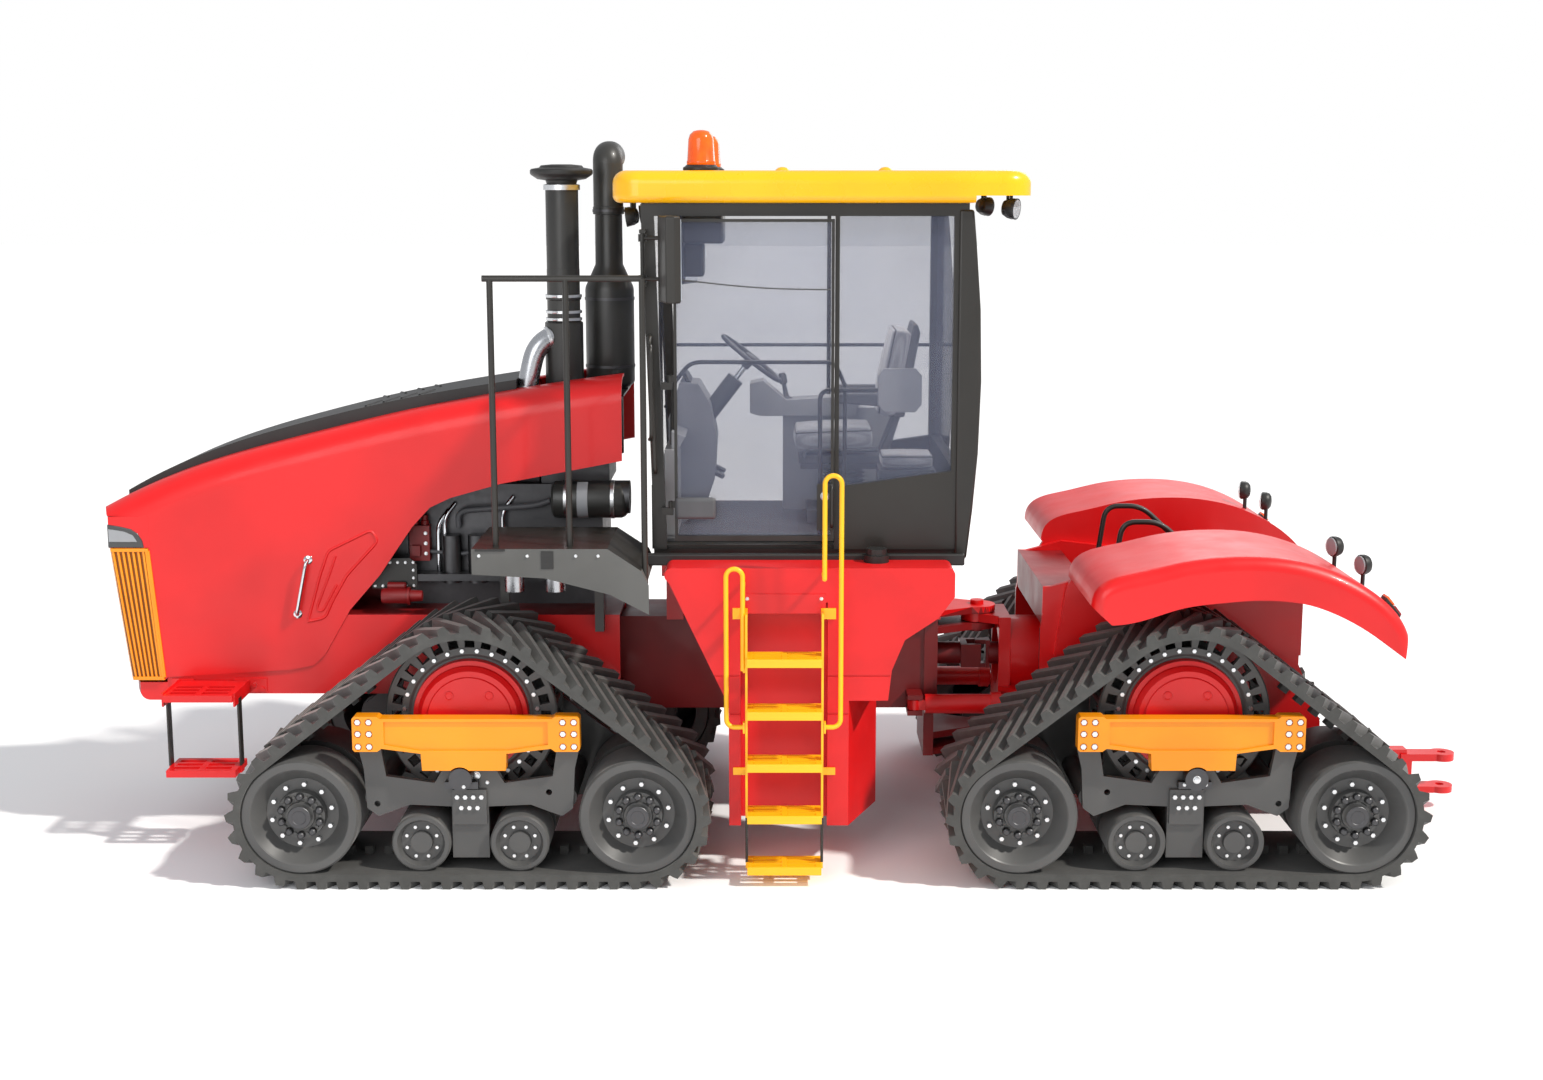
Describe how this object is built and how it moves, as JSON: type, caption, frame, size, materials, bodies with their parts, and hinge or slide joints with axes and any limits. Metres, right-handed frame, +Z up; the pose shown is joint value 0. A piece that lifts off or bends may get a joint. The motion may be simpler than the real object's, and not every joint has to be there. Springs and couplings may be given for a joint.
{
  "type": "articulated four-track tractor",
  "caption": "Articulated four-wheel-drive farm tractor on four triangular rubber track units, with a tilting hood, glazed cab, side tanks, ladder and drawbar hitch.",
  "frame": {"origin": "centre of the bounding box in plan, on the ground under the track lugs", "axes": "+X towards the drawbar hitch (nose at -X), +Y towards the right-hand side, +Z up"},
  "size_m": [8.1199, 3, 4.072],
  "materials": {
    "red_paint": "gloss",
    "yellow_paint": "gloss",
    "roof_yellow": "gloss",
    "black_panel": "satin",
    "engine_black": "satin",
    "stack_black": "satin",
    "cab_black": "satin",
    "tinted_glass": "clear",
    "seat_fabric": "woven",
    "interior_plastic": "moulded",
    "red_tank_plastic": "gloss",
    "platform_grey": "satin",
    "beacon_orange": "gloss",
    "rod_chrome": "polished",
    "track_rubber": "moulded",
    "grey_casting": "satin",
    "sprocket_casting": "satin",
    "wheel_paint": "satin"
  },
  "bodies": {
    "chassis": {"front_frame": "red_paint", "engine": "engine_black", "stacks": "stack_black", "cab_frame": "cab_black", "cab_glass": "tinted_glass", "cab_roof": "roof_yellow", "cab_console": "interior_plastic", "fuel_tanks": "red_tank_plastic", "access_ladder": "yellow_paint", "service_platform": "platform_grey", "front_steps": "red_paint", "roof_lights": "beacon_orange"},
    "hood": {"hood_shell": "red_paint", "hood_top_panel": "black_panel", "grille": "yellow_paint"},
    "cab_door": {"cab_door": "cab_black"},
    "operator_seat": {"operator_seat": "seat_fabric"},
    "steering_wheel": {"steering_wheel": "interior_plastic"},
    "mirror_left": {"mirror_left": "cab_black"},
    "mirror_right": {"mirror_right": "cab_black"},
    "articulation_yoke": {"articulation_yoke": "red_paint"},
    "rear_chassis": {"rear_frame": "red_paint", "rear_fenders": "red_paint"},
    "drawbar": {"drawbar": "red_paint"},
    "steering_barrel_left": {"steering_barrel_left": "red_paint"},
    "steering_barrel_right": {"steering_barrel_right": "red_paint"},
    "steering_rod_left": {"steering_rod_left": "rod_chrome"},
    "steering_rod_right": {"steering_rod_right": "rod_chrome"},
    "undercarriage_front_left": {"track_belt_front_left": "track_rubber", "track_frame_front_left": "grey_casting", "carrier_beam_front_left": "yellow_paint"},
    "sprocket_front_left": {"drive_sprocket_front_left": "sprocket_casting"},
    "idler_front_front_left": {"idler_front_front_left": "wheel_paint"},
    "idler_rear_front_left": {"idler_rear_front_left": "wheel_paint"},
    "roller_front_front_left": {"roller_front_front_left": "wheel_paint"},
    "roller_rear_front_left": {"roller_rear_front_left": "wheel_paint"},
    "undercarriage_front_right": {"track_belt_front_right": "track_rubber", "track_frame_front_right": "grey_casting", "carrier_beam_front_right": "yellow_paint"},
    "sprocket_front_right": {"drive_sprocket_front_right": "sprocket_casting"},
    "idler_front_front_right": {"idler_front_front_right": "wheel_paint"},
    "idler_rear_front_right": {"idler_rear_front_right": "wheel_paint"},
    "roller_front_front_right": {"roller_front_front_right": "wheel_paint"},
    "roller_rear_front_right": {"roller_rear_front_right": "wheel_paint"},
    "undercarriage_rear_left": {"track_belt_rear_left": "track_rubber", "track_frame_rear_left": "grey_casting", "carrier_beam_rear_left": "yellow_paint"},
    "sprocket_rear_left": {"drive_sprocket_rear_left": "sprocket_casting"},
    "idler_front_rear_left": {"idler_front_rear_left": "wheel_paint"},
    "idler_rear_rear_left": {"idler_rear_rear_left": "wheel_paint"},
    "roller_front_rear_left": {"roller_front_rear_left": "wheel_paint"},
    "roller_rear_rear_left": {"roller_rear_rear_left": "wheel_paint"},
    "undercarriage_rear_right": {"track_belt_rear_right": "track_rubber", "track_frame_rear_right": "grey_casting", "carrier_beam_rear_right": "yellow_paint"},
    "sprocket_rear_right": {"drive_sprocket_rear_right": "sprocket_casting"},
    "idler_front_rear_right": {"idler_front_rear_right": "wheel_paint"},
    "idler_rear_rear_right": {"idler_rear_rear_right": "wheel_paint"},
    "roller_front_rear_right": {"roller_front_rear_right": "wheel_paint"},
    "roller_rear_rear_right": {"roller_rear_rear_right": "wheel_paint"}
  },
  "joints": [
    {"name": "hood_tilt", "type": "hinge", "parent": "chassis", "child": "hood", "pos_m": [-3.936, 0, 0.954], "axis": [0, -1, 0], "range_deg": [0, 50]},
    {"name": "door_swing", "type": "hinge", "parent": "chassis", "child": "cab_door", "pos_m": [-0.69, -0.864, 2.7], "axis": [0, 0, -1], "range_deg": [0, 65]},
    {"name": "seat_slide", "type": "slide", "parent": "chassis", "child": "operator_seat", "axis": [1, 0, 0], "range_m": [-0.1, 0.08]},
    {"name": "steering_turn", "type": "hinge", "parent": "chassis", "child": "steering_wheel", "pos_m": [-0.25, 0, 2.76], "axis": [0.6198, 0, 0.7848], "continuous": true},
    {"name": "mirror_left_fold", "type": "hinge", "parent": "chassis", "child": "mirror_left", "pos_m": [-0.83, -0.93, 3.38], "axis": [0, 0, 1], "range_deg": [-16, 8]},
    {"name": "mirror_right_fold", "type": "hinge", "parent": "chassis", "child": "mirror_right", "pos_m": [-0.83, 0.93, 3.38], "axis": [0, 0, -1], "range_deg": [-70, 8]},
    {"name": "articulation", "type": "hinge", "parent": "chassis", "child": "articulation_yoke", "pos_m": [1.115, 0, 0.97], "axis": [0, 0, 1], "range_deg": [-16, 16]},
    {"name": "oscillation", "type": "hinge", "parent": "articulation_yoke", "child": "rear_chassis", "pos_m": [1.43, 0, 0.97], "axis": [1, 0, 0], "range_deg": [-10, 10]},
    {"name": "drawbar_swing", "type": "hinge", "parent": "rear_chassis", "child": "drawbar", "pos_m": [3.15, 0, 0.33], "axis": [0, 0, 1], "range_deg": [-12, 12]},
    {"name": "steering_barrel_left_swing", "type": "hinge", "parent": "chassis", "child": "steering_barrel_left", "pos_m": [0.72, -0.35, 0.74], "axis": [0, 0, 1], "range_deg": [-9, 9]},
    {"name": "steering_rod_left_stroke", "type": "slide", "parent": "steering_barrel_left", "child": "steering_rod_left", "axis": [1, 0, 0], "range_m": [-0.13, 0.13]},
    {"name": "steering_barrel_right_swing", "type": "hinge", "parent": "chassis", "child": "steering_barrel_right", "pos_m": [0.72, 0.35, 0.74], "axis": [0, 0, 1], "range_deg": [-9, 9]},
    {"name": "steering_rod_right_stroke", "type": "slide", "parent": "steering_barrel_right", "child": "steering_rod_right", "axis": [1, 0, 0], "range_m": [-0.13, 0.13]},
    {"name": "undercarriage_front_left_rock", "type": "hinge", "parent": "chassis", "child": "undercarriage_front_left", "pos_m": [-1.77, -0.713, 0.917], "axis": [0, 1, 0], "range_deg": [-6, 6]},
    {"name": "sprocket_front_left_spin", "type": "hinge", "parent": "undercarriage_front_left", "child": "sprocket_front_left", "pos_m": [-1.77, -1.119, 0.917], "axis": [0, 1, 0], "continuous": true},
    {"name": "idler_front_front_left_spin", "type": "hinge", "parent": "undercarriage_front_left", "child": "idler_front_front_left", "pos_m": [-2.686, -1.119, 0.4], "axis": [0, 1, 0], "continuous": true},
    {"name": "idler_rear_front_left_spin", "type": "hinge", "parent": "undercarriage_front_left", "child": "idler_rear_front_left", "pos_m": [-0.854, -1.119, 0.4], "axis": [0, 1, 0], "continuous": true},
    {"name": "roller_front_front_left_spin", "type": "hinge", "parent": "undercarriage_front_left", "child": "roller_front_front_left", "pos_m": [-2.038, -1.119, 0.242], "axis": [0, 1, 0], "continuous": true},
    {"name": "roller_rear_front_left_spin", "type": "hinge", "parent": "undercarriage_front_left", "child": "roller_rear_front_left", "pos_m": [-1.502, -1.119, 0.242], "axis": [0, 1, 0], "continuous": true},
    {"name": "undercarriage_front_right_rock", "type": "hinge", "parent": "chassis", "child": "undercarriage_front_right", "pos_m": [-1.77, 0.713, 0.917], "axis": [0, 1, 0], "range_deg": [-6, 6]},
    {"name": "sprocket_front_right_spin", "type": "hinge", "parent": "undercarriage_front_right", "child": "sprocket_front_right", "pos_m": [-1.77, 1.119, 0.917], "axis": [0, 1, 0], "continuous": true},
    {"name": "idler_front_front_right_spin", "type": "hinge", "parent": "undercarriage_front_right", "child": "idler_front_front_right", "pos_m": [-2.686, 1.119, 0.4], "axis": [0, 1, 0], "continuous": true},
    {"name": "idler_rear_front_right_spin", "type": "hinge", "parent": "undercarriage_front_right", "child": "idler_rear_front_right", "pos_m": [-0.854, 1.119, 0.4], "axis": [0, 1, 0], "continuous": true},
    {"name": "roller_front_front_right_spin", "type": "hinge", "parent": "undercarriage_front_right", "child": "roller_front_front_right", "pos_m": [-2.038, 1.119, 0.242], "axis": [0, 1, 0], "continuous": true},
    {"name": "roller_rear_front_right_spin", "type": "hinge", "parent": "undercarriage_front_right", "child": "roller_rear_front_right", "pos_m": [-1.502, 1.119, 0.242], "axis": [0, 1, 0], "continuous": true},
    {"name": "undercarriage_rear_left_rock", "type": "hinge", "parent": "rear_chassis", "child": "undercarriage_rear_left", "pos_m": [2.125, -0.713, 0.917], "axis": [0, 1, 0], "range_deg": [-6, 6]},
    {"name": "sprocket_rear_left_spin", "type": "hinge", "parent": "undercarriage_rear_left", "child": "sprocket_rear_left", "pos_m": [2.125, -1.119, 0.917], "axis": [0, 1, 0], "continuous": true},
    {"name": "idler_front_rear_left_spin", "type": "hinge", "parent": "undercarriage_rear_left", "child": "idler_front_rear_left", "pos_m": [1.209, -1.119, 0.4], "axis": [0, 1, 0], "continuous": true},
    {"name": "idler_rear_rear_left_spin", "type": "hinge", "parent": "undercarriage_rear_left", "child": "idler_rear_rear_left", "pos_m": [3.041, -1.119, 0.4], "axis": [0, 1, 0], "continuous": true},
    {"name": "roller_front_rear_left_spin", "type": "hinge", "parent": "undercarriage_rear_left", "child": "roller_front_rear_left", "pos_m": [1.857, -1.119, 0.242], "axis": [0, 1, 0], "continuous": true},
    {"name": "roller_rear_rear_left_spin", "type": "hinge", "parent": "undercarriage_rear_left", "child": "roller_rear_rear_left", "pos_m": [2.393, -1.119, 0.242], "axis": [0, 1, 0], "continuous": true},
    {"name": "undercarriage_rear_right_rock", "type": "hinge", "parent": "rear_chassis", "child": "undercarriage_rear_right", "pos_m": [2.125, 0.713, 0.917], "axis": [0, 1, 0], "range_deg": [-6, 6]},
    {"name": "sprocket_rear_right_spin", "type": "hinge", "parent": "undercarriage_rear_right", "child": "sprocket_rear_right", "pos_m": [2.125, 1.119, 0.917], "axis": [0, 1, 0], "continuous": true},
    {"name": "idler_front_rear_right_spin", "type": "hinge", "parent": "undercarriage_rear_right", "child": "idler_front_rear_right", "pos_m": [1.209, 1.119, 0.4], "axis": [0, 1, 0], "continuous": true},
    {"name": "idler_rear_rear_right_spin", "type": "hinge", "parent": "undercarriage_rear_right", "child": "idler_rear_rear_right", "pos_m": [3.041, 1.119, 0.4], "axis": [0, 1, 0], "continuous": true},
    {"name": "roller_front_rear_right_spin", "type": "hinge", "parent": "undercarriage_rear_right", "child": "roller_front_rear_right", "pos_m": [1.857, 1.119, 0.242], "axis": [0, 1, 0], "continuous": true},
    {"name": "roller_rear_rear_right_spin", "type": "hinge", "parent": "undercarriage_rear_right", "child": "roller_rear_rear_right", "pos_m": [2.393, 1.119, 0.242], "axis": [0, 1, 0], "continuous": true}
  ],
  "couplings": [
    {"joint": "steering_barrel_left_swing", "follows": "articulation", "ratio": 0.494},
    {"joint": "steering_rod_left_stroke", "follows": "articulation", "m_per_rad": 0.3488},
    {"joint": "steering_barrel_right_swing", "follows": "articulation", "ratio": 0.494},
    {"joint": "steering_rod_right_stroke", "follows": "articulation", "m_per_rad": -0.3488}
  ]
}
